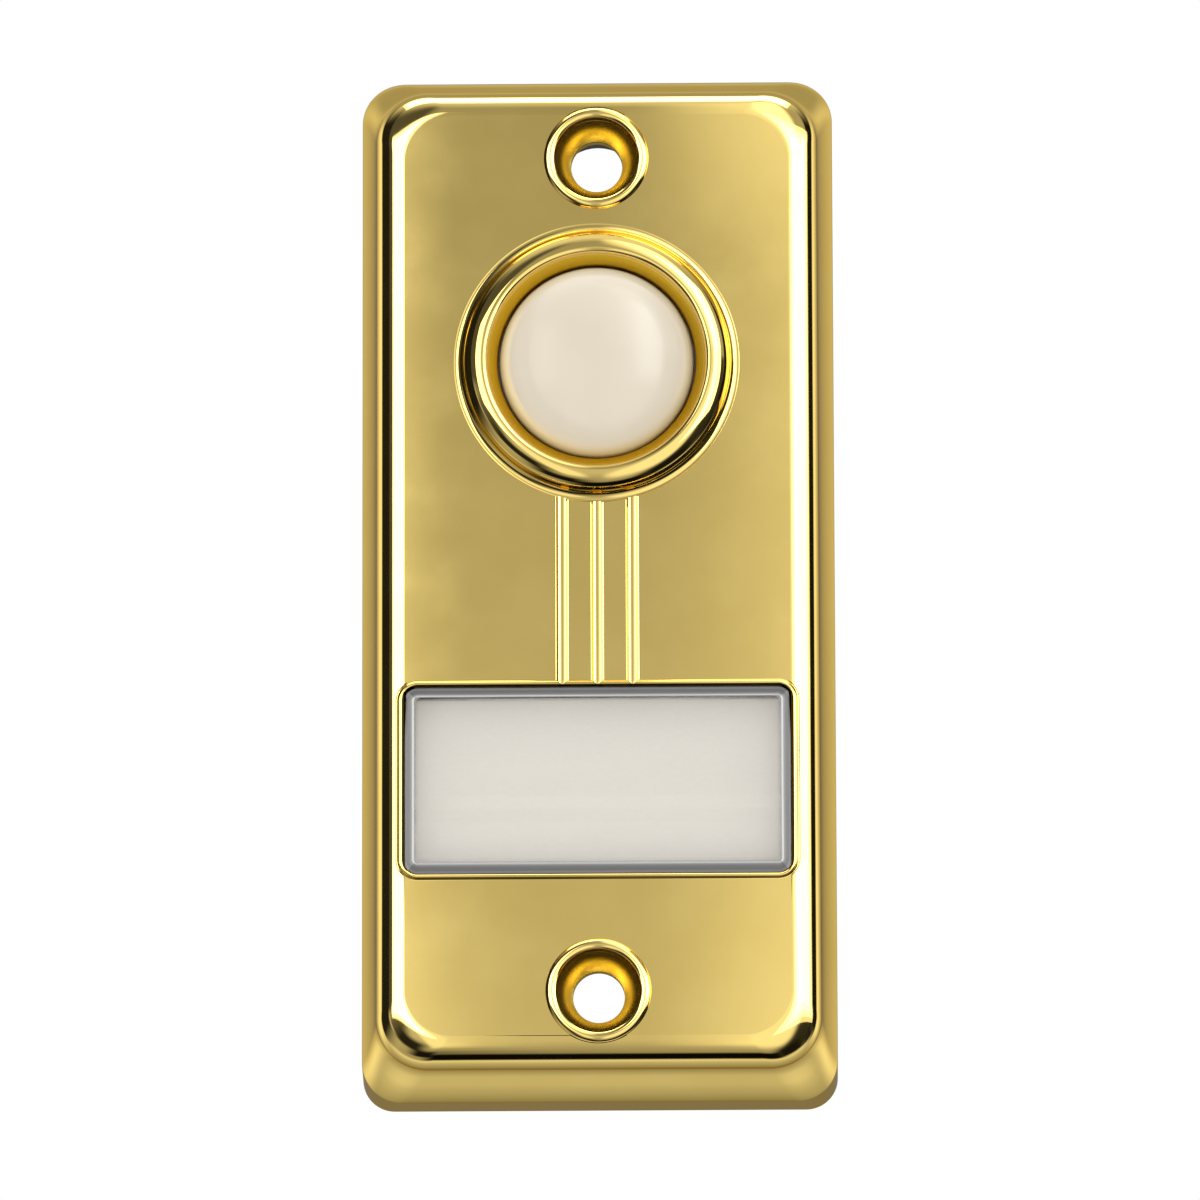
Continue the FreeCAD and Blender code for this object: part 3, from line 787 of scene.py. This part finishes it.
def lensMaterial():
    material, tree, shader = newMaterial("clear lens", IOR=1.49, Transmission_Weight=1.0,
                                         Base_Color=(0.985, 0.985, 0.98, 1))
    where = place(tree)
    x, _, z = apart(tree, where)
    w, h = lensWide / 2, opening["high"] / 2
    x, z = math2(tree, "DIVIDE", x, mm), math2(tree, "DIVIDE", z, mm)
    inside = math2(tree, "MULTIPLY", fromOutline(tree, x, z, w, h, opening["corner"], lensZ), -1.0)
    clear = byStops(tree, inside, lens["clear"])
    # Painted shade: the bevel's grey is darker above and below the card than beside it
    upright = math2(tree, "SUBTRACT", math2(tree, "ABSOLUTE", math2(tree, "SUBTRACT", z, lensZ)), h)
    beside = math2(tree, "SUBTRACT", math2(tree, "ABSOLUTE", x), w)
    side = spread(tree, math2(tree, "SUBTRACT", beside, upright), (-0.05, 0.05), lens["paintedSideShade"])
    side = mixLevel(tree, side, 1.0, clear)
    # Painted reflections and shade: the bevel's base colour is a grey in bands by the distance in from the edge,
    # where the lens is made opaque
    grey = math2(tree, "MULTIPLY", byStops(tree, inside, lens["paintedBevelGreys"]), side)
    paintedGrey = tree.nodes.new("ShaderNodeCombineColor")
    for socket in paintedGrey.inputs:
        tree.links.new(grey, socket)
    tree.links.new(paintedGrey.outputs[0], shader.inputs["Base Color"])
    tree.links.new(clear, shader.inputs["Transmission Weight"])
    wipe = noise(tree, where, 300.0, 3.0)
    tree.links.new(spread(tree, wipe, (0.3, 0.7), (0.0, 0.03)), shader.inputs["Roughness"])
    return material


# Studio: white to the camera, an even level on matt surfaces, and soft boxes and dark flags in mirrors

studio = {
    # Level on matt surfaces by the sine of the height
    "matt": ((-1, 0.0), (-0.4, 0.26), (0, 0.92), (1, 1.42)),
    "tilt": 12.0,           # where the camera's ray goes from the face, in degrees above the horizon
}

# Mirror levels. In front they follow the height above the horizon. Behind, past 90 degrees from straight
# ahead, they follow that angle, for rays that go down, sideways and up.
levels = {
    "front": ((-70, 0.33), (-40, 0.42), (-10, 0.62), (8.5, 0.64), (10, 0.61), (12, 0.52), (14, 0.42),
              (16, 0.39), (44, 0.38), (52, 0.54), (62, 0.70), (70, 0.90)),
    "below": ((95, 0.84), (98, 0.83), (106, 0.62), (114, 0.52), (131, 0.40), (145, 0.32), (153, 0.22),
              (170, 0.30)),
    "side": ((95, 0.9), (107, 1.0), (115, 1.15), (122, 1.1), (130, 0.9), (137, 0.68), (145, 0.53), (151, 0.40),
             (157, 0.26), (170, 0.24)),
    "above": ((95, 0.85), (98, 0.85), (104, 0.42), (124, 0.42), (134, 0.48), (139, 0.60), (150, 0.68),
              (175, 0.65)),
}

# Soft boxes and flags, laid over the levels in this order. Azimuth 0 is in front of the plate and 90 to its
# right, height is above the horizon. Reach is the angle from the face's own mirror ray and turn the
# direction round it, 0 to the right and 90 up. Each has its softness at the low and at the high end.
panels = (
    {"name": "left flag", "azimuth": (-75, -12), "soft": (6, 10), "height": (2, 50),
     "blur": (10, 20), "level": 0.09},
    {"name": "right flag", "azimuth": (40, 80), "soft": (14, 2), "height": (-50, 14),
     "blur": (20, 4), "level": 0.05},
    {"name": "upper right flag", "azimuth": (50, 80), "soft": (20, 2), "height": (14, 50),
     "blur": (4, 20), "level": 0.45},
    {"name": "right glow", "azimuth": (4.5, 34), "soft": (9, 16), "height": (-40, 60),
     "blur": (30, 30), "level": 1.05},
    {"name": "upper right glow", "azimuth": (2, 34), "soft": (6, 16), "height": (13.8, 60),
     "blur": (1, 20), "level": 1.1},
    {"name": "left glow", "azimuth": (-16, -6.3), "soft": (6, 3.4), "height": (-30, 15),
     "blur": (20, 2), "level": 1.05},
    {"name": "lower left glow", "azimuth": (-16, -4.8), "soft": (6, 4.5), "height": (-30, 10.3),
     "blur": (20, 2.6),
     "level": 1.1},
    {"name": "lower right glow", "azimuth": (2.5, 34), "soft": (5, 16), "height": (-30, 10.3),
     "blur": (20, 2.6),
     "level": 1.15},
    {"name": "low flag 1", "turn": (188, 216), "soft": (18, 18), "reach": (30, 62),
     "blur": (8, 4), "level": 0.12},
    {"name": "low flag 2", "turn": (206, 244), "soft": (18, 18), "reach": (40, 66),
     "blur": (14, 8), "level": 0.02},
    {"name": "low flag 3", "turn": (234, 264), "soft": (18, 18), "reach": (60, 86),
     "blur": (14, 8), "level": 0.01},
    {"name": "low flag 4", "turn": (255, 300), "soft": (18, 18), "reach": (74, 102),
     "blur": (10, 7), "level": 0.004},
    {"name": "low flag 5", "turn": (292, 330), "soft": (18, 18), "reach": (62, 97),
     "blur": (26, 7), "level": 0.01},
    {"name": "low flag 6", "turn": (325, 350), "soft": (18, 18), "reach": (50, 100),
     "blur": (34, 6), "level": 0.03},
    {"name": "left ground", "turn": (130, 204), "soft": (30, 30), "reach": (66, 104),
     "blur": (6, 5), "level": 0.015},
    {"name": "right ground", "turn": (340, 408), "soft": (30, 30), "reach": (79, 109),
     "blur": (4, 5), "level": 0.01},
    {"name": "upper box", "azimuth": (8, 44), "soft": (8, 20), "height": (16, 60),
     "blur": (4, 10), "level": 1.8},
)


def makeWorld():
    world = bpy.data.worlds.new("studio")
    bpy.context.scene.world = world
    world.use_nodes = True
    tree = world.node_tree
    background = tree.nodes["Background"]
    direction = tree.nodes.new("ShaderNodeTexCoord").outputs["Generated"]
    x, y, z = apart(tree, direction)
    mirror = mirrorLevel(tree, x, y, z)
    matt = byStops(tree, z, studio["matt"])
    paths = tree.nodes.new("ShaderNodeLightPath").outputs
    lit = mixLevel(tree, matt, mirror, paths["Is Glossy Ray"])
    plain = math2(tree, "MAXIMUM", paths["Is Camera Ray"], paths["Is Transmission Ray"])
    lit = mixLevel(tree, lit, 1.0, plain)
    background.inputs["Color"].default_value = (1, 1, 1, 1)
    tree.links.new(lit, background.inputs["Strength"])


def apart(tree, vector):
    node = tree.nodes.new("ShaderNodeSeparateXYZ")
    tree.links.new(vector, node.inputs["Vector"])
    return node.outputs


def mixLevel(tree, low, high, factor):
    node = tree.nodes.new("ShaderNodeMix")
    for socket, value in ((node.inputs[2], low), (node.inputs[3], high), (node.inputs[0], factor)):
        if isinstance(value, bpy.types.NodeSocket):
            tree.links.new(value, socket)
        else:
            socket.default_value = value
    return node.outputs[0]


def byStops(tree, value, stops):
    # Level by straight lines between (value, level) stops
    first, last = stops[0][0], stops[-1][0]
    most = max(level for _, level in stops)
    node = tree.nodes.new("ShaderNodeValToRGB")
    elements = node.color_ramp.elements
    for at, _ in stops[1:-1]:
        elements.new((at - first) / (last - first))
    for element, (_, level) in zip(elements, stops):
        element.color = (level / most, level / most, level / most, 1)
    tree.links.new(spread(tree, value, (first, last), (0, 1)), node.inputs["Fac"])
    return math2(tree, "MULTIPLY", node.outputs["Color"], most)


def between(tree, value, span, soft):
    # 1 between the two ends of a span and 0 outside, with soft ends
    (low, high), (inside, outside) = span, soft
    rise = spread(tree, value, (low - inside / 2, low + inside / 2), (0, 1), True)
    fall = spread(tree, value, (high - outside / 2, high + outside / 2), (1, 0), True)
    return math2(tree, "MULTIPLY", rise, fall)


def mirrorLevel(tree, x, y, z):
    # azimuth = atan2(x, -y), height = asin(z), ahead = acos(-y), and in a frame that leans back by the tilt
    # reach = acos(along), turn = atan2(up, x)
    degrees = 180 / math.pi
    tilt = math.radians(studio["tilt"])
    minusY = math2(tree, "MULTIPLY", y, -1.0)
    azimuth = math2(tree, "MULTIPLY", math2(tree, "ARCTAN2", x, minusY), degrees)
    height = math2(tree, "MULTIPLY", math2(tree, "ARCSINE", z), degrees)
    ahead = math2(tree, "MULTIPLY", math2(tree, "ARCCOSINE", minusY), degrees)
    along = math2(tree, "ADD", math2(tree, "MULTIPLY", minusY, math.cos(tilt)),
                  math2(tree, "MULTIPLY", z, math.sin(tilt)))
    up = math2(tree, "ADD", math2(tree, "MULTIPLY", y, math.sin(tilt)),
               math2(tree, "MULTIPLY", z, math.cos(tilt)))
    reach = math2(tree, "MULTIPLY", math2(tree, "ARCCOSINE", along), degrees)
    turn = math2(tree, "MULTIPLY", math2(tree, "ARCTAN2", up, x), degrees)
    behind = mixLevel(tree, byStops(tree, ahead, levels["side"]), byStops(tree, ahead, levels["below"]),
                      spread(tree, z, (-0.05, -0.5), (0, 1), True))
    behind = mixLevel(tree, behind, byStops(tree, ahead, levels["above"]),
                      spread(tree, z, (0.35, 0.65), (0, 1), True))
    level = mixLevel(tree, byStops(tree, height, levels["front"]), behind,
                     spread(tree, ahead, (85, 97), (0, 1), True))
    for panel in panels:
        if "turn" in panel:
            # Turned so that the panel's middle is at 0 and the seam lies opposite
            middle = sum(panel["turn"]) / 2
            half = panel["turn"][1] - middle
            offset = math2(tree, "WRAP", math2(tree, "SUBTRACT", turn, middle), 180.0, -180.0)
            across = between(tree, offset, (-half, half), panel["soft"])
            mask = math2(tree, "MULTIPLY", across, between(tree, reach, panel["reach"], panel["blur"]))
        else:
            across = between(tree, azimuth, panel["azimuth"], panel["soft"])
            mask = math2(tree, "MULTIPLY", across, between(tree, height, panel["height"], panel["blur"]))
        level = mixLevel(tree, level, panel["level"], mask)
        level.node.label = panel["name"]
    return level


# Soft boxes that light one piece each, seen in mirrors only. A box spans its azimuths and heights from the
# ring's middle, and its level rises in equal steps over the soft width round its edge.

coverBoxes = (
    {"name": "left box", "azimuth": (-52, -10), "height": (-2, 26), "soft": 6, "level": 4.2},
    {"name": "right box", "azimuth": (19, 79), "height": (-2, 26), "soft": 20, "level": 4.2},
    {"name": "ceiling", "azimuth": (-30, 30), "height": (71, 98), "soft": 6, "level": 4.0},
)
ringBoxes = (
    {"name": "ring's left box", "azimuth": (-39, -13), "height": (-1.5, 24.5), "soft": 0, "level": 2.4},
    {"name": "ring's right box", "azimuth": (20, 60), "height": (-11, 45), "soft": 0, "level": 2.4},
)
buttonBoxes = (
    {"name": "button's left box", "azimuth": (-29, -18), "height": (0, 26), "soft": 8, "level": 1.8},
    {"name": "button's right box", "azimuth": (17, 28), "height": (3, 38), "soft": 8, "level": 3.4},
    {"name": "button's upper box", "azimuth": (-35, 35), "height": (36, 104), "soft": 20, "level": 1.2},
)
boxDistance = 5.0
boxSteps = 4
boxSpacing = 0.05       # between the steps, which are lamps one behind the other


def makeBoxes(piece, boxes):
    # Each box faces the piece; its power is level x pi x area
    lit = bpy.data.collections.new(f"lit {piece.name}")
    lit.objects.link(piece)
    for box in boxes:
        steps = boxSteps if box["soft"] else 1
        for step in range(steps):
            inset = box["soft"] * (step - (steps - 1) / 2) / steps
            (left, right), (low, high) = box["azimuth"], box["height"]
            wide, tall = (math.radians((b - a) / 2 - inset) for a, b in ((left, right), (low, high)))
            azimuth, height = math.radians((left + right) / 2), math.radians((low + high) / 2)
            across = Vector((math.cos(azimuth), math.sin(azimuth), 0))
            towards = Vector((math.sin(azimuth) * math.cos(height), -math.cos(azimuth) * math.cos(height),
                              math.sin(height)))
            away = boxDistance + step * boxSpacing
            data = bpy.data.lights.new(box["name"], "AREA")
            data.shape = "RECTANGLE"
            data.size = 2 * away * math.tan(wide)
            data.size_y = 2 * away * math.tan(tall)
            data.energy = box["level"] / steps * math.pi * data.size * data.size_y
            lamp = bpy.data.objects.new(box["name"], data)
            bpy.context.scene.collection.objects.link(lamp)
            turned = Matrix((across, towards.cross(across), towards)).transposed().to_4x4()
            spot = Vector((0, front(0) * mm, ring["z"] * mm)) + towards * away
            lamp.matrix_world = Matrix.Translation(spot) @ turned
            lamp.light_linking.receiver_collection = lit
            lamp.visible_camera = lamp.visible_diffuse = False


ground = {"size": 8.0, "height": -1.4, "grey": 0.9, "roughness": 0.9}


def makeFloor():
    # Pale floor far below
    bpy.ops.mesh.primitive_plane_add(size=ground["size"], location=(0, 0, ground["height"]))
    floor = bpy.context.object
    floor.name = "floor"
    grey = ground["grey"]
    material, _, _ = newMaterial("pale floor", Roughness=ground["roughness"], Base_Color=(grey, grey, grey, 1))
    floor.data.materials.append(material)
    floor.visible_glossy = False        # mirrors see the studio's levels all round


# Camera: below the plate and looking up at it through a long lens

camera = {
    "distance": 1.295,
    "lens": 399.2,
    "sensor": 36.0,
    "azimuth": 0.85,
    "height": -12.0,
    "roll": -0.16,
    "target": (0.0, -0.008, 0.0),
    "aside": 0.000195,      # how far the frame's middle lies from the target, to the right and up
    "up": -0.001732,
    "clip": (0.05, 50),
}


def makeCamera():
    a, e, r = (math.radians(camera[key]) for key in ("azimuth", "height", "roll"))
    ahead = Vector((-math.sin(a) * math.cos(e), math.cos(a) * math.cos(e), -math.sin(e)))
    level = Vector((math.cos(a), math.sin(a), 0))
    above = level.cross(ahead)
    right = level * math.cos(r) + above * math.sin(r)
    up = above * math.cos(r) - level * math.sin(r)
    data = bpy.data.cameras.new("camera")
    data.lens, data.sensor_width = camera["lens"], camera["sensor"]
    data.clip_start, data.clip_end = camera["clip"]
    eye = bpy.data.objects.new("camera", data)
    bpy.context.scene.collection.objects.link(eye)
    spot = Vector(camera["target"]) + right * camera["aside"] + up * camera["up"] - ahead * camera["distance"]
    eye.matrix_world = Matrix.Translation(spot) @ Matrix((right, up, -ahead)).transposed().to_4x4()
    bpy.context.scene.camera = eye


def main():
    print("camera and studio")
    makeCamera()
    makeWorld()
    makeFloor()
    bpy.context.scene.view_settings.view_transform = "Standard"
    print("brass")
    dishes = [(side * screwPlace["spacing"] / 2, screwPlace["mouth"] / 2) for side in (1, -1)]
    coverBrass = brassMaterial("cover brass", brass["dish"], brass["dishRoughness"], dishes, brass["crown"])
    cone = [(ring["z"], brass["coneReach"])]
    ringBrass = brassMaterial("ring brass", brass["cone"], brass["coneRoughness"], cone)
    makeBoxes(makeCover(coverBrass), coverBoxes)
    makeBoxes(makeRing(ringBrass), ringBoxes)
    print("button, spring and window")
    makeBoxes(makeButton(ivoryMaterial()), buttonBoxes)
    makeLens(lensMaterial())
    print("small metal, back and card")
    finishes = {slot: metalMaterial(**finish) for slot, finish in metals.items()}
    finishes.update(ring_brass=ringBrass, moulded_back=mouldedMaterial(), blank_card=cardMaterial())
    makeSpring(finishes["spring_steel"])
    slots = {part["node"]: part["material_slot"] for part in frame["record"]["subparts"]}
    for name, node in frame["nodes"].items():
        if slots[name] in finishes:
            node.data.materials.clear()
            node.data.materials.append(finishes[slots[name]])


main()
